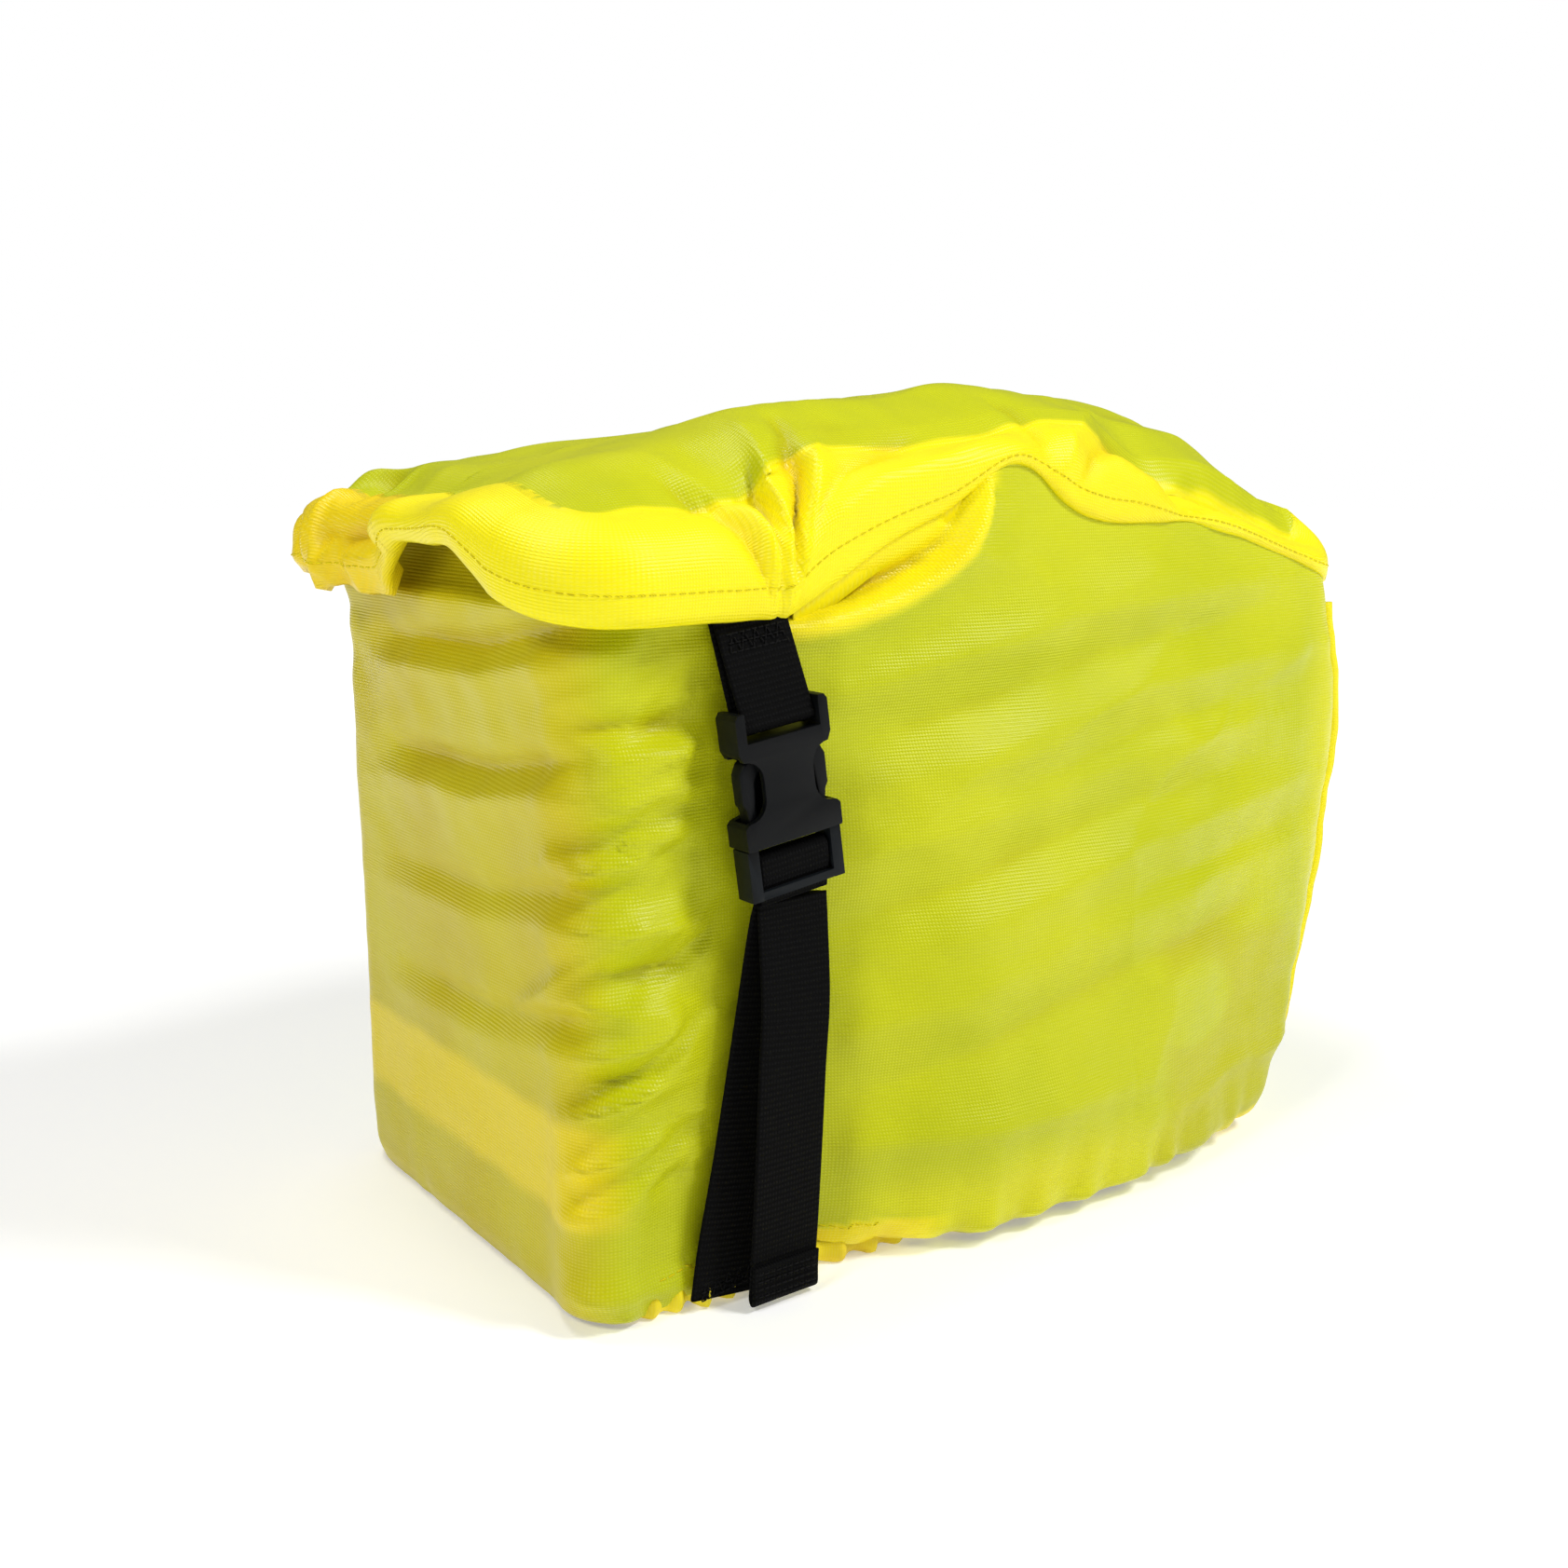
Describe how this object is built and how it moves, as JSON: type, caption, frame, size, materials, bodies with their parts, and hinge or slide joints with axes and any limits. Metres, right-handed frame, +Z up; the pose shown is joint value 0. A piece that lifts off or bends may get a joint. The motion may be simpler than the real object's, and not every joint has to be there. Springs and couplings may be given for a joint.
{
  "type": "dry bag",
  "caption": "Waterproof nylon cover with a gathered elastic hem and a side-release strap, drawn over a padded box-shaped liner bag with a hinged domed lid.",
  "frame": {"origin": "centre of the liner's base, on the surface the bag stands on", "axes": "+Z up, +X along the length towards the rear end, -X is the front end with the folded-over cloth, -Y is the long side with the strap"},
  "size_m": [0.3614, 0.2238, 0.2819],
  "materials": {
    "cover_cloth": "coated nylon, satin",
    "cover_cloth_double": "coated nylon in two layers, satin",
    "hem_elastic": "matt",
    "webbing": "woven",
    "stitching": "thread",
    "buckle_plastic": "satin",
    "liner_cloth": "woven",
    "liner_board": "matt",
    "reflective": "reflective"
  },
  "bodies": {
    "liner": {"base_board": "liner_board", "liner_tub": "liner_cloth", "reflective_band": "reflective", "haul_loop": "webbing", "rim_piping": "webbing", "lid_hinge_tape": "webbing"},
    "lid": {"liner_lid": "liner_cloth", "lid_handle": "webbing"},
    "cover": {"wall_cloth": "cover_cloth", "rear_panel": "cover_cloth", "top_panel": "cover_cloth", "top_seam_tape": "cover_cloth_double", "front_fold": "cover_cloth_double", "hem_tunnel": "cover_cloth_double", "hem_elastic": "hem_elastic", "upper_webbing": "webbing", "upper_bartack": "stitching", "buckle_socket": "buckle_plastic", "strap_leg": "webbing", "leg_bartack": "stitching"},
    "plug": {"buckle_plug": "buckle_plastic", "bar_wrap": "webbing"},
    "front_prong": {"prong_front": "buckle_plastic"},
    "rear_prong": {"prong_rear": "buckle_plastic"},
    "tail": {"strap_tail": "webbing", "tail_end_fold": "webbing"}
  },
  "joints": [
    {"name": "cover_lift", "type": "slide", "parent": "liner", "child": "cover", "axis": [0, 0, 1], "range_m": [0, 0.33]},
    {"name": "lid_open", "type": "hinge", "parent": "liner", "child": "lid", "pos_m": [0.137, 0, 0.1942], "axis": [0, 1, 0], "range_deg": [0, 58]},
    {"name": "buckle_release", "type": "slide", "parent": "cover", "child": "plug", "axis": [0.1392, 0, -0.9903], "range_m": [0, 0.029]},
    {"name": "front_prong_squeeze", "type": "hinge", "parent": "plug", "child": "front_prong", "pos_m": [-0.09897, -0.1008, 0.14972], "axis": [0, 1, 0], "range_deg": [0, 9], "stiffness_Nm_per_rad": 0.02},
    {"name": "rear_prong_squeeze", "type": "hinge", "parent": "plug", "child": "rear_prong", "pos_m": [-0.07442, -0.1008, 0.15318], "axis": [0, 1, 0], "range_deg": [-9, 0], "stiffness_Nm_per_rad": 0.02},
    {"name": "tail_swing", "type": "hinge", "parent": "plug", "child": "tail", "pos_m": [-0.084, -0.1004, 0.1269], "axis": [-1, 0, 0], "range_deg": [0, 46]}
  ],
  "couplings": [
    {"joint": "lid_open", "follows": "cover_lift", "rad_per_m": 3},
    {"joint": "rear_prong_squeeze", "follows": "front_prong_squeeze", "ratio": -1},
    {"joint": "tail_swing", "follows": "buckle_release", "rad_per_m": 27.5}
  ]
}
